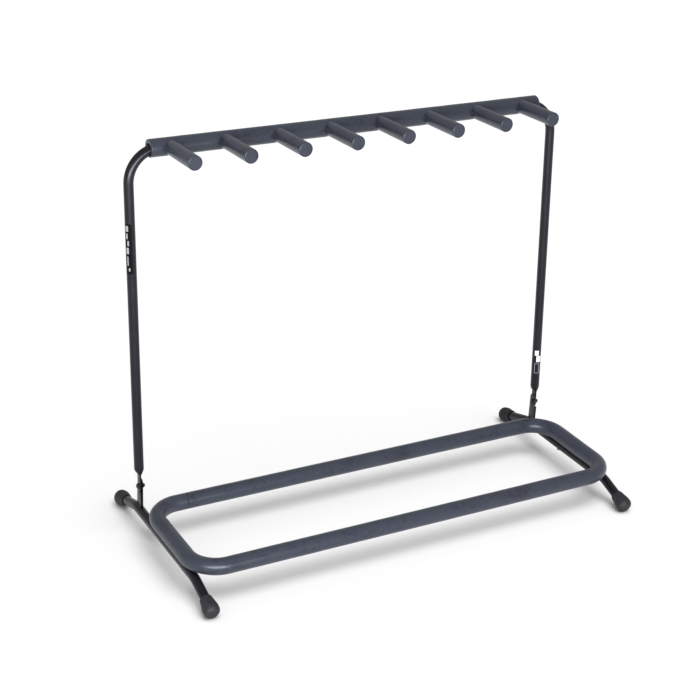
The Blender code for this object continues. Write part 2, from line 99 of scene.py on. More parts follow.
def linear(hex_code):
    """The linear colour of an sRGB hex code."""
    channels = [int(hex_code[k:k + 2], 16) / 255 for k in (1, 3, 5)]
    return [c / 12.92 if c <= 0.04045 else ((c + 0.055) / 1.055) ** 2.4 for c in channels] + [1.0]


def add_node(tree, kind, inputs=None, **settings):
    """Add a shader node, set its properties, and set or link its inputs."""
    made = tree.nodes.new("ShaderNode" + kind)
    for name, value in settings.items():
        setattr(made, name, value)
    for socket, value in (inputs or {}).items():
        if isinstance(value, bpy.types.NodeSocket):
            tree.links.new(value, made.inputs[socket])
        else:
            made.inputs[socket].default_value = value
    return made


def new_material(name, **shader_values):
    """A material, its node tree and its shader, with that shader's constants set."""
    material = bpy.data.materials.new(name)
    material.use_nodes = True
    shader = material.node_tree.nodes["Principled BSDF"]
    for socket, value in shader_values.items():
        shader.inputs[socket.replace("_", " ")].default_value = value
    return material, material.node_tree, shader


ceiling = bpy.data.objects.new("ceiling bank", bpy.data.lights.new("ceiling bank", "SUN"))
scene.collection.objects.link(ceiling)
ceiling.data.energy = CEILING_STRENGTH
ceiling.data.angle = CEILING_SPREAD
ceiling.matrix_world = Vector(CEILING_FROM).to_track_quat("Z", "Y").to_matrix().to_4x4()
ceiling.visible_glossy = False

strip = bpy.data.objects.new("strip box", bpy.data.lights.new("strip box", "AREA"))
scene.collection.objects.link(strip)
strip.data.shape = "RECTANGLE"
strip.data.size, strip.data.size_y = STRIP_SIZE
strip.data.energy = STRIP_WATTS
look = (Vector(STRIP_TARGET) - Vector(STRIP_PLACE)).to_track_quat("-Z", "Y")
strip.matrix_world = Matrix.Translation(STRIP_PLACE) @ look.to_matrix().to_4x4()

scene.world = bpy.data.worlds.new("studio")
scene.world.use_nodes = True
scene.world.node_tree.nodes["Background"].inputs["Color"].default_value = linear("#FFFFFF")
scene.world.node_tree.nodes["Background"].inputs["Strength"].default_value = STUDIO_WHITE
scene.view_settings.view_transform = "Standard"

bpy.ops.mesh.primitive_plane_add(size=FLOOR_SIZE)
floor = bpy.context.object
floor.name = "paper_floor"
paper, _, _ = new_material("white_paper", Base_Color=linear("#F6F6F6"), Roughness=0.9,
                           Specular_IOR_Level=0.1)
floor.data.materials.append(paper)


# Legs.  Two lengths of 16 mm steel tube, bent down at both ends and powder-coated black.
# The coat is semi-gloss, so a tube shows one narrow highlight, broken by a faint orange peel.
TUBE_R = 0.008
TUBE_WALL = 0.0015
TUBE_SIDES = 48
LEG_SPAN = 0.3692            # ball centre of the front foot to that of the rear foot
FRONT_FOOT_RUN = 0.0616      # level length of the leg's sloping ends
REAR_FOOT_RUN = 0.0691
LEG_BEND = 0.06
BALL_HEIGHT = 0.0127         # floor to the leg's axis at a ball centre
LEG_HEIGHT = 0.0333
BEND_STEP = radians(5)
SMOOTH_ANGLE = radians(40)
DOUBLES = 1e-5
ORANGE_PEEL = 1.6            # mm, drawn coarser than the real 0.8 so that it shows
COAT_DRIFT = 22              # mm, slow change of gloss along a tube


def per_metre(millimetres):
    """The scale of a noise pattern whose blobs are this size."""
    return 1000 / millimetres


coat, tree, shader = new_material("black_powder_coat", Base_Color=linear("#0E0E11"),
                                  IOR=1.5, Specular_IOR_Level=0.4,
                                  Specular_Tint=linear("#E9E6F6"))
place = add_node(tree, "TexCoord").outputs["Object"]
drift = add_node(tree, "TexNoise", {"Vector": place, "Scale": per_metre(COAT_DRIFT),
                                    "Detail": 3.0})
peel = add_node(tree, "TexNoise", {"Vector": place, "Scale": per_metre(ORANGE_PEEL),
                                   "Detail": 2.0, "Roughness": 0.6})
gloss = add_node(tree, "MapRange", {"Value": drift.outputs["Fac"], "To Min": 0.24,
                                    "To Max": 0.34})
tint = add_node(tree, "ValToRGB", {"Fac": drift.outputs["Fac"]})
tint.color_ramp.elements[0].color = linear("#08080B")
tint.color_ramp.elements[0].position = 0.3
tint.color_ramp.elements[1].color = linear("#0D0D11")
tint.color_ramp.elements[1].position = 0.7
bump = add_node(tree, "Bump", {"Height": peel.outputs["Fac"], "Strength": 0.12,
                               "Distance": 0.0003})
tree.links.new(tint.outputs["Color"], shader.inputs["Base Color"])
tree.links.new(gloss.outputs["Result"], shader.inputs["Roughness"])
tree.links.new(bump.outputs["Normal"], shader.inputs["Normal"])


def box_centre(node):
    low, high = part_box(node)
    return (low + high) / 2


def aimed(place, direction):
    """A matrix that moves the origin to place and turns +Z to direction."""
    return Matrix.Translation(place) @ direction.to_track_quat("Z", "Y").to_matrix().to_4x4()


def set_in_place(piece, matrix):
    """Move a piece and leave the move in its mesh."""
    piece.matrix_world = matrix
    bpy.ops.object.transform_apply(location=True, rotation=True, scale=True)


def start_ring(name, radius, sides, matrix):
    """A ring of edges to draw out, selected in edit mode."""
    bpy.ops.object.select_all(action="DESELECT")
    bpy.ops.mesh.primitive_circle_add(vertices=sides, radius=radius)
    piece = bpy.context.object
    piece.name = name
    piece.data.name = name
    set_in_place(piece, matrix)
    bpy.ops.object.mode_set(mode="EDIT")
    bpy.ops.mesh.select_all(action="SELECT")
    return piece


def sweep(corners, bend_radius, spacing=1.0):
    """Draw the selected ring along a line through corners, with each bend spun."""
    at = corners[0]
    for corner, after in zip(corners[1:], corners[2:] + [None]):
        into = (corner - at).normalized()
        end = corner
        if after is not None:
            out_of = (after - corner).normalized()
            turned = into.angle(out_of)
            end = corner - into * bend_radius * sin(turned / 2) / cos(turned / 2)
        steps = max(1, ceil((end - at).length / spacing))
        for _ in range(steps):
            step = (end - at) / steps
            bpy.ops.mesh.extrude_region_move(TRANSFORM_OT_translate={"value": step})
        if after is not None:
            side = (out_of - into * into.dot(out_of)).normalized()
            centre = end + side * bend_radius
            bpy.ops.mesh.spin(steps=ceil(turned / BEND_STEP), angle=-turned, center=centre,
                              axis=into.cross(side))
            end = centre + into * bend_radius * sin(turned) - side * bend_radius * cos(turned)
        at = end


def close_up(piece):
    """Merge doubles, turn the faces outwards, and go back to object mode."""
    bpy.ops.mesh.select_all(action="SELECT")
    bpy.ops.mesh.remove_doubles(threshold=DOUBLES)
    bpy.ops.mesh.normals_make_consistent(inside=False)
    bpy.ops.object.mode_set(mode="OBJECT")


def apply_modifier(piece, name, kind, **settings):
    """Add a modifier to a piece, set it, and apply it."""
    bpy.context.view_layer.objects.active = piece
    modifier = piece.modifiers.new(name, kind)
    for key, value in settings.items():
        setattr(modifier, key, value)
    bpy.ops.object.modifier_apply(modifier=name)


def settle(piece, material, body, slot, *nodes):
    """Smooth a finished piece, coat it, and tie it to its body and CAD nodes. The slot is not used.
    """
    bpy.ops.object.select_all(action="DESELECT")
    piece.select_set(True)
    bpy.context.view_layer.objects.active = piece
    bpy.ops.object.shade_smooth_by_angle(angle=SMOOTH_ANGLE)
    if material:
        piece.data.materials.clear()
        piece.data.materials.append(material)
    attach(piece, body)
    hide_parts(*nodes)


def leg_corners(x):
    """Ball centre, knee, knee and ball centre of a leg, front to rear."""
    half = LEG_SPAN / 2
    return [Vector((x, -half, BALL_HEIGHT)), Vector((x, -half + FRONT_FOOT_RUN, LEG_HEIGHT)),
            Vector((x, half - REAR_FOOT_RUN, LEG_HEIGHT)), Vector((x, half, BALL_HEIGHT))]


SIDES = ((-1, "left"), (1, "right"))
for side, label in SIDES:
    leg = leg_corners(box_centre("leg_tube_" + label).x)
    tube = start_ring("leg_" + label, TUBE_R, TUBE_SIDES, aimed(leg[0], leg[1] - leg[0]))
    sweep(leg, LEG_BEND)
    close_up(tube)
    apply_modifier(tube, "wall", "SOLIDIFY", thickness=TUBE_WALL, offset=-1)
    settle(tube, coat, "base", "powder_coated_steel", "leg_tube_" + label)


# Feet.  Bell-shaped caps of moulded black rubber, pushed on over the ends of the legs.
# The mouth is a thin rolled lip, and the sole is flat where the cap stands.  The skin is
# matte and a little cloudy, so a cap reads softer and warmer than the steel.
CAP_R = 0.0132
CAP_MOUTH_R = 0.0099
CAP_BORE_R = 0.0083
CAP_FLARE = 0.0185           # mouth to the widest place
CAP_LENGTH = 0.0328
CAP_BALL = 0.0225            # mouth to the ball centre
CAP_ROUND = 0.0085
CAP_LIP = 0.0006
CAP_SIDES = 56
FLARE_STEPS = 14
SOLE_HEIGHT = 0.0002
RUBBER_GRAIN = 1.3           # mm, the mould's spark texture, drawn coarser than the real 0.3
RUBBER_BLOOM = 9             # mm, pale bloom on the skin

rubber, tree, shader = new_material("moulded_black_rubber", IOR=1.52, Specular_IOR_Level=0.35)
place = add_node(tree, "TexCoord").outputs["Object"]
bloom = add_node(tree, "TexNoise", {"Vector": place, "Scale": per_metre(RUBBER_BLOOM),
                                    "Detail": 4.0})
grain = add_node(tree, "TexNoise", {"Vector": place, "Scale": per_metre(RUBBER_GRAIN),
                                    "Detail": 3.0, "Roughness": 0.65})
tint = add_node(tree, "ValToRGB", {"Fac": bloom.outputs["Fac"]})
tint.color_ramp.elements[0].color = linear("#18181C")
tint.color_ramp.elements[0].position = 0.35
tint.color_ramp.elements[1].color = linear("#222227")
tint.color_ramp.elements[1].position = 0.72
gloss = add_node(tree, "MapRange", {"Value": bloom.outputs["Fac"], "To Min": 0.52,
                                    "To Max": 0.72})
bump = add_node(tree, "Bump", {"Height": grain.outputs["Fac"], "Strength": 0.22,
                               "Distance": 0.0003})
tree.links.new(tint.outputs["Color"], shader.inputs["Base Color"])
tree.links.new(gloss.outputs["Result"], shader.inputs["Roughness"])
tree.links.new(bump.outputs["Normal"], shader.inputs["Normal"])

POINT = 1e-6                 # radius of a ring that is merged to a point


def turn_profile(name, stations, sides, matrix):
    """Draw a ring up an outline of (radius, height) stations, as a lathe would."""
    radius, height = stations[0]
    lift = Matrix.Translation((0, 0, height))
    piece = start_ring(name, max(radius, POINT), sides, lift)
    for (before, low), (after, high) in zip(stations, stations[1:]):
        step = (0, 0, high - low)
        bpy.ops.mesh.extrude_region_move(TRANSFORM_OT_translate={"value": step})
        share = max(after, POINT) / max(before, POINT)
        bpy.ops.transform.resize(value=(share, share, 1), center_override=(0, 0, 0))
    close_up(piece)
    set_in_place(piece, matrix)
    return piece


def arc(radius, height, size, start, end, steps):
    """Stations on an arc about (radius, height), from one angle to another."""
    angles = [radians(start + (end - start) * k / steps) for k in range(steps + 1)]
    return [(radius + size * cos(angle), height + size * sin(angle)) for angle in angles]


cap_outline = [(0, CAP_BALL), (CAP_BORE_R, CAP_BALL), (CAP_BORE_R, CAP_LIP)]
cap_outline += arc((CAP_BORE_R + CAP_MOUTH_R) / 2, 0.0008, 0.0008, 180, 360, 6)
for k in range(1, FLARE_STEPS + 1):
    t = k / FLARE_STEPS
    cap_outline.append((CAP_MOUTH_R + (CAP_R - CAP_MOUTH_R) * t,
                        CAP_LIP + (CAP_FLARE - CAP_LIP) * t))
cap_outline.append((CAP_R, CAP_LENGTH - CAP_ROUND - 0.001))
cap_outline += arc(CAP_R - CAP_ROUND, CAP_LENGTH - CAP_ROUND, CAP_ROUND, 0, 90, 10)
cap_outline += [(0.004, CAP_LENGTH), (0.0034, CAP_LENGTH - 0.0003), (0, CAP_LENGTH - 0.0003)]
for side, label in SIDES:
    leg = leg_corners(box_centre("leg_tube_" + label).x)
    for ball, knee, end in ((leg[0], leg[1], "front"), (leg[3], leg[2], "rear")):
        outward = (ball - knee).normalized()
        name = f"foot_{end}_{label}"
        foot = turn_profile(name, cap_outline, CAP_SIDES, aimed(ball - outward * CAP_BALL, outward))
        bpy.ops.object.mode_set(mode="EDIT")
        bpy.ops.mesh.select_all(action="SELECT")
        bpy.ops.mesh.bisect(plane_co=(0, 0, SOLE_HEIGHT), plane_no=(0, 0, 1), clear_inner=True,
                            use_fill=True)
        close_up(foot)
        settle(foot, rubber, "base", "rubber_feet", f"foot_cap_{end}_{label}")


# Hinge brackets.  Each is a strip of 1.2 mm sheet folded into a narrow U, open to the front,
# with a tall round-cornered inner cheek and a short outer wall, welded on the leg's crown.
SHEET = 0.0012
SLOT = 0.0018
CHEEK_CORNER = 0.006
PIN_HOLE_R = 0.0028
EDGE_BREAK = 0.00025
BEAD_R = 0.0012
BEAD_STEPS = 22
BEAD_SIDES = 14
BEAD_PINCH = 2.2             # how fast a bead swells from its pinched ends
BEAD_RIPPLE = 0.86           # girth of a bead between two ripples
pin_axis = Vector(frame["joints"][0]["pos_m"])


def block(name, low, high):
    """A box between two corners."""
    bpy.ops.object.select_all(action="DESELECT")
    bpy.ops.mesh.primitive_cube_add(size=1)
    piece = bpy.context.object
    piece.name = name
    size = Vector(high) - Vector(low)
    middle = (Vector(high) + Vector(low)) / 2
    set_in_place(piece, Matrix.Translation(middle) @ Matrix.Diagonal((*size, 1)))
    return piece


def rod(name, radius, start, end, sides):
    """A round bar between two places."""
    bpy.ops.object.select_all(action="DESELECT")
    length = (end - start).length
    bpy.ops.mesh.primitive_cylinder_add(vertices=sides, radius=radius, depth=length)
    piece = bpy.context.object
    piece.name = name
    set_in_place(piece, aimed((start + end) / 2, end - start))
    return piece


def cut(piece, cutter, operation="DIFFERENCE"):
    """Cut a piece with another, or join the two, and throw the other away."""
    apply_modifier(piece, "cut", "BOOLEAN", operation=operation, object=cutter, solver="EXACT")
    bpy.data.objects.remove(cutter)


def weld_bead(name, start, end):
    """A short weld bead: overlapping ripples along a line, pinched out at both ends."""
    along = end - start
    bead = start_ring(name, POINT, BEAD_SIDES, aimed(start, along))
    before = POINT
    for k in range(1, BEAD_STEPS + 1):
        t = k / BEAD_STEPS
        swell = min(1, sin(pi * t) * BEAD_PINCH) * (1 if k % 2 else BEAD_RIPPLE)
        after = max(POINT, BEAD_R * swell)
        step = along / BEAD_STEPS
        bpy.ops.mesh.extrude_region_move(TRANSFORM_OT_translate={"value": step})
        share = after / before
        at = start + along * t
        bpy.ops.transform.resize(value=(share, share, share), center_override=at)
        before = after
    close_up(bead)
    return bead


for side, label in SIDES:
    low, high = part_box("hinge_bracket_" + label)
    bracket = block("bracket_" + label, low, high)
    bpy.ops.object.mode_set(mode="EDIT")
    bpy.ops.mesh.select_all(action="DESELECT")
    bm = bmesh.from_edit_mesh(bracket.data)
    for edge in bm.edges:
        if all(abs(v.co.z - high.z) < DOUBLES for v in edge.verts):
            edge.select = abs(edge.verts[0].co.x - edge.verts[1].co.x) > SHEET
    bmesh.update_edit_mesh(bracket.data)
    bpy.ops.mesh.bevel(offset=CHEEK_CORNER, segments=12, affect="EDGES")
    bpy.ops.object.mode_set(mode="OBJECT")
    inner = low.x if side > 0 else high.x
    cheek = inner + side * SHEET
    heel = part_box("neck_frame_tube")[0].z - 0.0003
    beyond = 0.02
    xs = sorted((cheek, cheek + side * SLOT))
    cut(bracket, block("slot", (xs[0], low.y - beyond, low.z - beyond),
                       (xs[1], high.y - SHEET, heel + SHEET)))
    xs = sorted((cheek, cheek + side * beyond))
    cut(bracket, block("above", (xs[0], low.y - beyond, heel),
                       (xs[1], high.y + beyond, high.z + beyond)))
    crown = Vector((box_centre("leg_tube_" + label).x, pin_axis.y, LEG_HEIGHT))
    reach = Vector((0, beyond, 0))
    cut(bracket, rod("crown", TUBE_R + 0.0001, crown - reach, crown + reach, 96))
    pin = Vector((inner, pin_axis.y, pin_axis.z))
    reach = Vector((beyond, 0, 0))
    cut(bracket, rod("pin hole", PIN_HOLE_R, pin - reach, pin + reach, 40))
    apply_modifier(bracket, "one face to a flat", "DECIMATE", decimate_type="DISSOLVE",
                   angle_limit=radians(0.5))
    apply_modifier(bracket, "broken edges", "BEVEL", width=EDGE_BREAK, segments=2,
                   limit_method="ANGLE", angle_limit=radians(40))
    beads = []
    for x in (low.x, high.x):
        drop = sqrt(TUBE_R ** 2 - (x - crown.x) ** 2)
        foot = Vector((x, 0, LEG_HEIGHT + drop))
        beads.append(weld_bead("bead", foot + Vector((0, low.y + 0.001, 0)),
                               foot + Vector((0, high.y - 0.001, 0))))
    rear = Vector((0, high.y, LEG_HEIGHT + TUBE_R))
    beads.append(weld_bead("bead", rear + Vector((low.x - 0.0008, 0, 0)),
                           rear + Vector((high.x + 0.0008, 0, 0))))
    bpy.ops.object.select_all(action="DESELECT")
    for bead in beads + [bracket]:
        bead.select_set(True)
    bpy.context.view_layer.objects.active = bracket
    bpy.ops.object.join()
    settle(bracket, coat, "base", "powder_coated_steel", "hinge_bracket_" + label)


# Tray.  A ring of tube in one piece, butted over a joiner in its rear run and sleeved in
# foam; the legs carry it and press a groove into the foam.  The foam is closed-cell nitrile
# rubber with a dull skin: charcoal with a blue cast, faintly mottled, with a broad sheen.
TRAY_FOAM_R = 0.0136
TRAY_BEND = 0.0484
TRAY_SIDES = 72
TRAY_RING_SPACING = 0.003
SEAM_INSET = 0.067           # left side run to the butt joint
SEAM_HALF = 0.00008
FOAM_EDGE = 0.0008
FOAM_CELL = 1.7              # mm, drawn coarser than the real 0.4
FOAM_MOTTLE = 7              # mm
FOAM_DRIFT = 60              # mm
FOAM_WAVE = 0.00035
FOAM_WAVE_SIZE = 0.035

foam, tree, shader = new_material("nitrile_foam", IOR=1.5, Specular_IOR_Level=0.5,
                                  Specular_Tint=linear("#DDE6F5"), Sheen_Weight=0.1,
                                  Sheen_Roughness=0.4,
                                  Sheen_Tint=linear("#AEB6C6"))
place = add_node(tree, "TexCoord").outputs["Object"]
cells = add_node(tree, "TexVoronoi", {"Vector": place, "Scale": per_metre(FOAM_CELL)})
mottle = add_node(tree, "TexNoise", {"Vector": place, "Scale": per_metre(FOAM_MOTTLE),
                                     "Detail": 6.0, "Roughness": 0.65})
drift = add_node(tree, "TexNoise", {"Vector": place, "Scale": per_metre(FOAM_DRIFT),
                                    "Detail": 2.0})
blotch = add_node(tree, "Math", {0: mottle.outputs["Fac"], 1: drift.outputs["Fac"]},
                  operation="ADD")
tint = add_node(tree, "ValToRGB", {"Fac": blotch.outputs["Value"]})
tint.color_ramp.elements[0].color = linear("#20212A")
tint.color_ramp.elements[0].position = 0.75
tint.color_ramp.elements[1].color = linear("#292C35")
tint.color_ramp.elements[1].position = 1.25
gloss = add_node(tree, "MapRange", {"Value": mottle.outputs["Fac"], "To Min": 0.30,
                                    "To Max": 0.40})
coarse = add_node(tree, "Bump", {"Height": mottle.outputs["Fac"], "Strength": 0.07,
                                 "Distance": 0.0006})
fine = add_node(tree, "Bump", {"Height": cells.outputs["Distance"], "Strength": 0.2,
                               "Distance": 0.0003, "Normal": coarse.outputs["Normal"]})
tree.links.new(tint.outputs["Color"], shader.inputs["Base Color"])
tree.links.new(gloss.outputs["Result"], shader.inputs["Roughness"])
tree.links.new(fine.outputs["Normal"], shader.inputs["Normal"])


def uneven(piece, name, height, size):
    """Slow dents and swellings, as extruded foam has."""
    texture = bpy.data.textures.new(name, "CLOUDS")
    texture.noise_scale = size
    apply_modifier(piece, name, "DISPLACE", texture=texture, strength=height, mid_level=0.5,
                   texture_coords="GLOBAL")


def press_clear(piece, line, clearance):
    """Push soft skin off a hard tube that lies along a line of places."""
    mesh = piece.data
    places = np.empty(len(mesh.vertices) * 3)
    mesh.vertices.foreach_get("co", places)
    places = places.reshape(-1, 3)
    nearest = np.full(len(places), np.inf)
    away = np.zeros_like(places)
    for start, end in zip(line, line[1:]):
        start, along = np.array(start), np.array(end - start)
        share = np.clip((places - start) @ along / (along @ along), 0, 1)
        offset = places - start - share[:, None] * along
        distance = np.linalg.norm(offset, axis=1)
        closer = distance < nearest
        nearest[closer] = distance[closer]
        away[closer] = offset[closer]
    inside = nearest < clearance
    grown = clearance / np.maximum(nearest[inside], POINT) - 1
    places[inside] += away[inside] * grown[:, None]
    mesh.vertices.foreach_set("co", places.ravel())
    mesh.update()


tray = box_centre("tray_foam")
low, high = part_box("tray_foam")
run_x = high.x - TRAY_FOAM_R
run_front = low.y + TRAY_FOAM_R
run_rear = high.y - TRAY_FOAM_R
seam = -run_x + SEAM_INSET
corners = [(seam - SEAM_HALF, run_rear), (-run_x, run_rear), (-run_x, run_front),
           (run_x, run_front), (run_x, run_rear), (seam + SEAM_HALF, run_rear)]
corners = [Vector((x, y, tray.z)) for x, y in corners]
pad = start_ring("tray_sleeve", TRAY_FOAM_R, TRAY_SIDES, aimed(corners[0], Vector((-1, 0, 0))))
sweep(corners, TRAY_BEND, TRAY_RING_SPACING)
close_up(pad)
apply_modifier(pad, "wall", "SOLIDIFY", thickness=TRAY_FOAM_R - TUBE_R - 0.0003, offset=-1)
apply_modifier(pad, "cut edge", "BEVEL", width=FOAM_EDGE, segments=3, limit_method="ANGLE",
               angle_limit=radians(60))
uneven(pad, "tray unevenness", FOAM_WAVE, FOAM_WAVE_SIZE)
for side, label in SIDES:
    press_clear(pad, leg_corners(box_centre("leg_tube_" + label).x), TUBE_R + 0.0002)
settle(pad, foam, "base", "foam_rubber", "tray_foam")
for node in ("tray_tube", "tray_joiner"):
    frame["nodes"][node].data.materials.clear()
    frame["nodes"][node].data.materials.append(coat)


# Tray screws.  Black zinc-plated pan-head screws with a cross recess, driven up through
# each leg and the foam into the tray's tube.  The plating glints dully and unevenly.
SCREW_R = 0.002
SCREW_HEAD_R = 0.0042
SCREW_HEAD_H = 0.0022
RECESS = 0.0044
RECESS_SLOT = 0.0009
RECESS_DEPTH = 0.0013
PLATING_MOTTLE = 2.5         # mm
SCREW_TURNS = 10
THREAD_ROOT = 0.84           # share of a thread's outer radius

zinc, tree, shader = new_material("black_zinc_plate", Metallic=1.0)
place = add_node(tree, "TexCoord").outputs["Object"]
mottle = add_node(tree, "TexNoise", {"Vector": place, "Scale": per_metre(PLATING_MOTTLE),
                                     "Detail": 4.0})
tint = add_node(tree, "ValToRGB", {"Fac": mottle.outputs["Fac"]})
tint.color_ramp.elements[0].color = linear("#3A3B40")
tint.color_ramp.elements[0].position = 0.3
tint.color_ramp.elements[1].color = linear("#56575D")
tint.color_ramp.elements[1].position = 0.75
gloss = add_node(tree, "MapRange", {"Value": mottle.outputs["Fac"], "To Min": 0.28,
                                    "To Max": 0.46})
tree.links.new(tint.outputs["Color"], shader.inputs["Base Color"])
tree.links.new(gloss.outputs["Result"], shader.inputs["Roughness"])

for side, label in SIDES:
    for end in ("front", "rear"):
        node = f"tray_screw_{end}_{label}"
        low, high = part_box(node)
        middle = (low + high) / 2
        outline = [(0, 0), (0.0018, 0.00005), (0.0030, 0.0004), (0.0038, 0.0010),
                   (SCREW_HEAD_R, 0.0017), (SCREW_HEAD_R, SCREW_HEAD_H),
                   (SCREW_R, SCREW_HEAD_H)]
        length = high.z - low.z
        pitch = (length - SCREW_HEAD_H - 0.001) / SCREW_TURNS
        for k in range(SCREW_TURNS):
            z = SCREW_HEAD_H + 0.0005 + k * pitch
            outline += [(SCREW_R * THREAD_ROOT, z + pitch * 0.1), (SCREW_R, z + pitch * 0.5),
                        (SCREW_R * THREAD_ROOT, z + pitch * 0.9)]
        outline.append((0, length))
        spot = Vector((middle.x, middle.y, low.z))
        screw = turn_profile(f"screw_{end}_{label}", outline, 28, Matrix.Translation(spot))
        for long_x in (True, False):
            reach = (RECESS / 2, RECESS_SLOT / 2) if long_x else (RECESS_SLOT / 2, RECESS / 2)
            half = Vector((reach[0], reach[1], 0))
            cut(screw, block("recess", spot - half - Vector((0, 0, RECESS_DEPTH)),
                             spot + half + Vector((0, 0, RECESS_DEPTH))))
        settle(screw, zinc, "base", "black_hardware", node)


# Pivot bolts.  M5 button-head screws with a hexagon socket; a washer under each head on
# the left-hand side, and a lock nut with a collar on the right.
BOLT_R = 0.0025
HEAD_R = 0.0047
HEAD_H = 0.0028
SOCKET_R = 0.0017
SOCKET_DEPTH = 0.0014
THREAD_PITCH = 0.0008
THREAD_LENGTH = 0.0064
WASHER_R = 0.0052
NUT_R = 0.0046
COLLAR_R = 0.0037
to_right = Vector((1, 0, 0))
for side, label in SIDES:
    low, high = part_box("pivot_bolt_" + label)
    length = high.x - low.x
    head = arc(0, HEAD_H + 0.0026, 0.0054, 270, 298, 6)
    outline = [(0, 0)] + [(r, z - head[0][1]) for r, z in head[1:]]
    outline += arc(HEAD_R - 0.0005, HEAD_H - 0.0006, 0.0005, 0, 90, 4)
    outline += [(BOLT_R, HEAD_H)]
    z = length - THREAD_LENGTH
    while z < length - THREAD_PITCH:
        outline += [(BOLT_R, z), (BOLT_R * THREAD_ROOT, z + THREAD_PITCH / 2)]
        z += THREAD_PITCH
    outline += [(BOLT_R * THREAD_ROOT, length - 0.0002), (BOLT_R * 0.7, length), (0, length)]
    start = Vector((low.x, pin_axis.y, pin_axis.z))
    bolt = turn_profile("bolt_" + label, outline, 40, aimed(start, to_right))
    cut(bolt, rod("socket", SOCKET_R, start - to_right * SOCKET_DEPTH,
                  start + to_right * SOCKET_DEPTH, 6))
    settle(bolt, zinc, "base", "black_hardware", "pivot_bolt_" + label)

    low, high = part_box("pivot_washer_" + label)
    thick = high.x - low.x
    edge = thick / 4
    outline = [(PIN_HOLE_R, edge), (PIN_HOLE_R + edge, 0), (WASHER_R - edge, 0), (WASHER_R, edge),
               (WASHER_R, thick - edge), (WASHER_R - edge, thick), (PIN_HOLE_R + edge, thick),
               (PIN_HOLE_R, thick - edge), (PIN_HOLE_R, edge)]
    start = Vector((low.x, pin_axis.y, pin_axis.z))
    washer = turn_profile("washer_" + label, outline, 40, aimed(start, to_right))
    settle(washer, zinc, "base", "black_hardware", "pivot_washer_" + label)

    low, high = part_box("pivot_nut_" + label)
    thick = high.x - low.x
    start = Vector((low.x, pin_axis.y, pin_axis.z))
    flats = thick * 0.74
    nut = rod("nut_" + label, NUT_R, start, start + to_right * flats, 6)
    bevelled = [(0, 0), (NUT_R * 0.9, 0), (NUT_R * 1.02, flats * 0.12), (NUT_R * 1.02, flats * 0.88),
                (NUT_R * 0.9, flats), (0, flats)]
    cut(nut, turn_profile("chamfer", bevelled, 48, aimed(start, to_right)), "INTERSECT")
    collar = [(0, flats / 2), (COLLAR_R, flats / 2), (COLLAR_R, thick - 0.0006)]
    collar += arc(COLLAR_R - 0.0006, thick - 0.0006, 0.0006, 0, 90, 4)[1:] + [(0, thick)]
    cut(nut, turn_profile("collar", collar, 48, aimed(start, to_right)), "UNION")
    cut(nut, rod("bore", BOLT_R + 0.0001, start - to_right * thick, start + to_right * 2 * thick, 40))
    settle(nut, zinc, "base", "black_hardware", "pivot_nut_" + label)


# Neck frame.  One inverted U of the same tube.  Each end is crushed flat in a die and
# drilled, so that it turns on a bolt in its bracket; the crush leaves a V at each face.
TAB_THICK = 0.0032
TAB_WIDTH = 0.012
TAB_HEEL = 0.008             # pin to the heel
TAPER_START = 0.020          # above the pin, where the crushed end opens out
TAPER_END = 0.0325
TAB_ROUND = 0.0083           # radius about the pin of the heel's front corner
BAR_BEND = 0.0526
SLIT_LIP = 0.0013
TAPER_POWER = 1.2            # how full the taper is: above 1, it opens out slowly at first
DIE_LIP_HEIGHT = 0.016       # above the pin, the ridge squeezed out behind the tab by the die
DIE_LIP = 0.0007
DIE_LIP_REACH = 0.0022
bar_axis = box_centre("top_bar_foam")
lean = atan2(bar_axis.y - pin_axis.y, bar_axis.z - pin_axis.z)
frame_length = hypot(bar_axis.y - pin_axis.y, bar_axis.z - pin_axis.z)
frame_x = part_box("neck_frame_tube")[1].x - TUBE_R
pivot = Matrix.Translation((0, pin_axis.y, pin_axis.z)) @ Matrix.Rotation(-lean, 4, "X")


def crush(piece):
    """Press both ends of the U flat: a flat-sided section that opens into the round tube."""
    round_end = TAB_THICK / 2
    for v in piece.data.vertices:
        if v.co.z >= TAPER_END - DOUBLES:
            continue
        side = -1 if v.co.x < 0 else 1
        across = (v.co.x - side * frame_x) / TUBE_R
        along = v.co.y / TUBE_R
        t = min(1, max(0, (v.co.z - TAPER_START) / (TAPER_END - TAPER_START)))
        share = sin(t * pi / 2) ** TAPER_POWER
        rear = TAB_WIDTH / 2
        front = rear
        if v.co.z < 0:
            front = min(front, sqrt(max(POINT, TAB_ROUND ** 2 - v.co.z ** 2)))
        flat = (rear if along > 0 else front) - round_end
        flat_y = (flat if along > 0 else -flat) + round_end * along
        x = round_end * across + (TUBE_R - round_end) * across * share
        y = flat_y + (TUBE_R * along - flat_y) * share
        ridge = exp(-(((v.co.z - DIE_LIP_HEIGHT) / DIE_LIP_REACH) ** 2))
        y += DIE_LIP * ridge * max(0, along)
        v.co.x = side * frame_x + x
        v.co.y = y


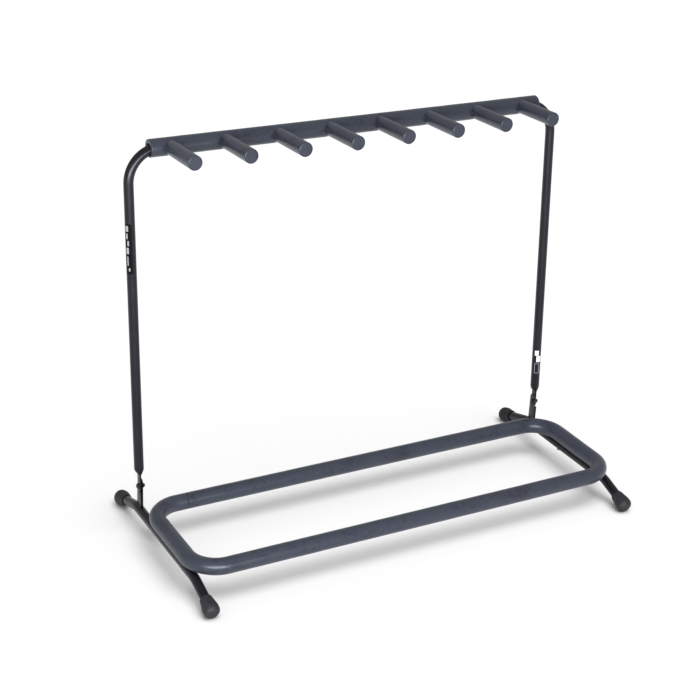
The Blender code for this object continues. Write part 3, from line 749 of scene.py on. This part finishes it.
heel_heights = [TAB_HEEL * t for t in (1, 0.96, 0.9, 0.83, 0.75, 0.6, 0.3, 0)]
heights = [-z for z in heel_heights] + [0.005, 0.010, 0.013, 0.0145, 0.016, 0.0175, TAPER_START]
taper_steps = 14
heights += [TAPER_START + (TAPER_END - TAPER_START) * k / taper_steps
            for k in range(1, taper_steps + 1)]
u_tube = start_ring("neck_frame", TUBE_R, TUBE_SIDES,
                    aimed(Vector((-frame_x, 0, heights[0])), Vector((0, 0, 1))))
for low_z, high_z in zip(heights, heights[1:]):
    bpy.ops.mesh.extrude_region_move(TRANSFORM_OT_translate={"value": (0, 0, high_z - low_z)})
sweep([Vector((-frame_x, 0, TAPER_END)), Vector((-frame_x, 0, frame_length)),
       Vector((frame_x, 0, frame_length)), Vector((frame_x, 0, TAPER_END))], BAR_BEND)
for high_z, low_z in zip(heights[::-1], heights[-2::-1]):
    bpy.ops.mesh.extrude_region_move(TRANSFORM_OT_translate={"value": (0, 0, low_z - high_z)})
close_up(u_tube)
crush(u_tube)
bpy.ops.object.mode_set(mode="EDIT")
for side in (-1, 1):
    bpy.ops.mesh.select_all(action="DESELECT")
    bm = bmesh.from_edit_mesh(u_tube.data)
    for edge in bm.edges:
        if edge.is_boundary and edge.verts[0].co.x * side > 0:
            edge.select = True
    bmesh.update_edit_mesh(u_tube.data)
    bpy.ops.mesh.edge_face_add()
    bpy.ops.mesh.inset(thickness=SLIT_LIP)
    bpy.ops.mesh.extrude_region_move(TRANSFORM_OT_translate={"value": (0, 0, 0.004)})
close_up(u_tube)
reach = Vector((frame_x + 0.02, 0, 0))
cut(u_tube, rod("pin hole", PIN_HOLE_R, -reach, reach, 40))
set_in_place(u_tube, pivot)
settle(u_tube, coat, "neck_frame", "powder_coated_steel", "neck_frame_tube")


# Labels.  Curved slips of film stuck round the uprights: a long black one with plain grey
# bars on the left upright, and on the right two white patches above a thin outlined box.
# All of it is blank.  The black film is deeper and smoother than the coat beside it.
FILM = 0.00008
LABEL_LOW, LABEL_HIGH = 0.368, 0.449      # along the upright, from its pin
LABEL_MIDDLE, LABEL_HALF = 61, 57         # degrees round from the front, and half the width
BARS = (                                  # from, to, first and last angle
    (0.373, 0.378, 34, 50), (0.382, 0.397, 52, 66), (0.401, 0.411, 44, 74),
    (0.414, 0.422, 40, 58), (0.425, 0.434, 52, 72), (0.437, 0.446, 44, 78))
PATCHES = ((0.0935, 0.103, 8, 58), (0.081, 0.0925, -26, 34))
BOX_LOW, BOX_HIGH = 0.059, 0.078
BOX_FROM, BOX_TO = -6, 56
BOX_LINE = 0.0006
BOX_LINE_TURN = 5
FILM_STEP = 4                             # degrees

film, _, _ = new_material("gloss_black_film", Base_Color=linear("#050506"), Roughness=0.2,
                          IOR=1.4, Specular_IOR_Level=0.2)
white_print, _, _ = new_material("white_print", Base_Color=linear("#D6D7DA"), Roughness=0.4)
grey_print, _, _ = new_material("grey_print", Base_Color=linear("#8E9298"), Roughness=0.4)


def slip(name, side, low, high, start, end, layer, material):
    """A slip of film round an upright, between two heights and two angles from the front."""
    bpy.ops.object.select_all(action="DESELECT")
    bpy.ops.mesh.primitive_circle_add(vertices=3, radius=TUBE_R)
    piece = bpy.context.object
    piece.name = name
    piece.data.name = name
    bm = bmesh.new()
    radius = TUBE_R + FILM * (layer - 0.5)
    steps = ceil((end - start) / FILM_STEP)
    columns = []
    for k in range(steps + 1):
        turn = radians(start + (end - start) * k / steps)
        place = Vector((side * frame_x - radius * sin(turn), -radius * cos(turn), 0))
        columns.append([bm.verts.new(place + Vector((0, 0, z))) for z in (low, high)])
    for left, right in zip(columns, columns[1:]):
        bm.faces.new((left[0], right[0], right[1], left[1]))
    bm.to_mesh(piece.data)
    bm.free()
    apply_modifier(piece, "film", "SOLIDIFY", thickness=FILM, offset=0)
    bpy.ops.object.mode_set(mode="EDIT")
    close_up(piece)
    set_in_place(piece, pivot)
    settle(piece, material, "neck_frame", "powder_coated_steel")


slip("label_left", -1, LABEL_LOW, LABEL_HIGH, LABEL_MIDDLE - LABEL_HALF,
     LABEL_MIDDLE + LABEL_HALF, 1, film)
for k, bar in enumerate(BARS):
    slip(f"label_bar_{k + 1}", -1, *bar, 2, grey_print)
for k, patch in enumerate(PATCHES):
    slip(f"patch_{k + 1}", 1, *patch, 1, white_print)
for name, low_z, high_z, start, end in (
        ("top", BOX_HIGH - BOX_LINE, BOX_HIGH, BOX_FROM, BOX_TO),
        ("bottom", BOX_LOW, BOX_LOW + BOX_LINE, BOX_FROM, BOX_TO),
        ("one_side", BOX_LOW + BOX_LINE, BOX_HIGH - BOX_LINE, BOX_FROM, BOX_FROM + BOX_LINE_TURN),
        ("other_side", BOX_LOW + BOX_LINE, BOX_HIGH - BOX_LINE, BOX_TO - BOX_LINE_TURN, BOX_TO)):
    slip("box_line_" + name, 1, low_z, high_z, start, end, 1, grey_print)


# Top bar sleeve.  A length of the same foam pulled over the bar before its ends were bent,
# so each end of the sleeve gapes over the bend.  It dimples in where each peg stands on it.
BAR_FOAM_R = 0.0143
BAR_SIDES = 72
BAR_SPACING = 0.002
PEG_COUNT = 8
PEG_FOAM_R = 0.0117
PEG_RISE = 2.4               # degrees, the tilt of the pegs
PEG_DIMPLE = 0.0009
PEG_DIMPLE_REACH = 0.0022
bar_low, bar_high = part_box("top_bar_foam")
peg_places = [box_centre(f"peg_foam_{k + 1}").x for k in range(PEG_COUNT)]
peg_rise = radians(PEG_RISE)
peg_direction = Vector((0, -cos(peg_rise), sin(peg_rise)))

ends = [Vector((bar_low.x, bar_axis.y, bar_axis.z)), Vector((bar_high.x, bar_axis.y, bar_axis.z))]
sleeve = start_ring("bar_sleeve", BAR_FOAM_R, BAR_SIDES, aimed(ends[0], to_right))
sweep(ends, 0, BAR_SPACING)
close_up(sleeve)
apply_modifier(sleeve, "wall", "SOLIDIFY", thickness=BAR_FOAM_R - TUBE_R - 0.0005, offset=-1)
apply_modifier(sleeve, "cut edge", "BEVEL", width=FOAM_EDGE, segments=3, limit_method="ANGLE",
               angle_limit=radians(60))
uneven(sleeve, "bar unevenness", FOAM_WAVE, FOAM_WAVE_SIZE)
for v in sleeve.data.vertices:
    spoke = Vector((0, v.co.y - bar_axis.y, v.co.z - bar_axis.z))
    if spoke.length < BAR_FOAM_R - 0.002 or spoke.dot(peg_direction) < 0:
        continue
    lift = spoke.cross(peg_direction).length
    gap = min(hypot(v.co.x - x, lift) for x in peg_places) - PEG_FOAM_R
    depth = PEG_DIMPLE * exp(-((max(gap, 0) / PEG_DIMPLE_REACH) ** 2))
    v.co -= spoke.normalized() * depth
bar_line = []
for side in (-1, 1):
    bend = []
    for k in range(13):
        angle = pi / 2 * k / 12
        bend.append(pivot @ Vector((side * (frame_x - BAR_BEND + BAR_BEND * sin(angle)), 0,
                                    frame_length - BAR_BEND + BAR_BEND * cos(angle))))
    bar_line = (bend[::-1] if side < 0 else bar_line + bend)
press_clear(sleeve, bar_line, TUBE_R + 0.0003)
settle(sleeve, foam, "neck_frame", "foam_rubber", "top_bar_foam")


# Pegs.  A short rod is welded to the bar for each, under a closed-ended foam grip that is
# pushed on until it bears on the sleeve.  The grip's cut end has a fine raised rim.
PEG_REACH = 0.1021
PEG_BORE_R = 0.0063
PEG_END = 0.006
PEG_ROUND = 0.0012
PEG_SIDES = 64
PEG_RINGS = 30
RIM_R = 0.88                 # share of the grip's radius
RIM_H = 0.0002
outline = [(0, PEG_REACH - PEG_END), (PEG_BORE_R, PEG_REACH - PEG_END), (PEG_BORE_R, TUBE_R),
           (PEG_FOAM_R, TUBE_R)]
start = BAR_FOAM_R
stop = PEG_REACH - PEG_ROUND
outline += [(PEG_FOAM_R, start + (stop - start) * k / PEG_RINGS) for k in range(PEG_RINGS)]
outline += arc(PEG_FOAM_R - PEG_ROUND, stop, PEG_ROUND, 0, 90, 6)
rim = PEG_FOAM_R * RIM_R
outline += [(rim, PEG_REACH + RIM_H), (rim - 0.0004, PEG_REACH + RIM_H),
            (rim - 0.0007, PEG_REACH - RIM_H), (PEG_FOAM_R * 0.4, PEG_REACH - RIM_H),
            (0, PEG_REACH - RIM_H)]
for k, x in enumerate(peg_places):
    root = Vector((x, bar_axis.y, bar_axis.z))
    grip = turn_profile(f"peg_grip_{k + 1}", outline, PEG_SIDES, Matrix.Identity(4))
    set_in_place(grip, aimed(root, peg_direction))
    saddle = BAR_FOAM_R - PEG_DIMPLE + 0.0001
    for v in grip.data.vertices:
        spoke = Vector((0, v.co.y - root.y, v.co.z - root.z))
        height = spoke.dot(peg_direction)
        if abs(height - TUBE_R) < 0.0005:
            off = (v.co - root).cross(peg_direction).dot(to_right)
            v.co += peg_direction * (sqrt(saddle ** 2 - min(abs(off), PEG_FOAM_R) ** 2) - height)
    uneven(grip, f"peg unevenness {k + 1}", FOAM_WAVE, FOAM_WAVE_SIZE)
    settle(grip, foam, "neck_frame", "foam_rubber", f"peg_foam_{k + 1}")
    rod_node = frame["nodes"][f"peg_rod_{k + 1}"]
    rod_node.data.materials.clear()
    rod_node.data.materials.append(coat)

# The strip box is flagged off the paper, so that it lights only the rack.
flagged = bpy.data.collections.new("lit by the strip box")
for piece in scene.objects:
    if piece.type == "MESH" and piece is not floor:
        flagged.objects.link(piece)
strip.light_linking.receiver_collection = flagged
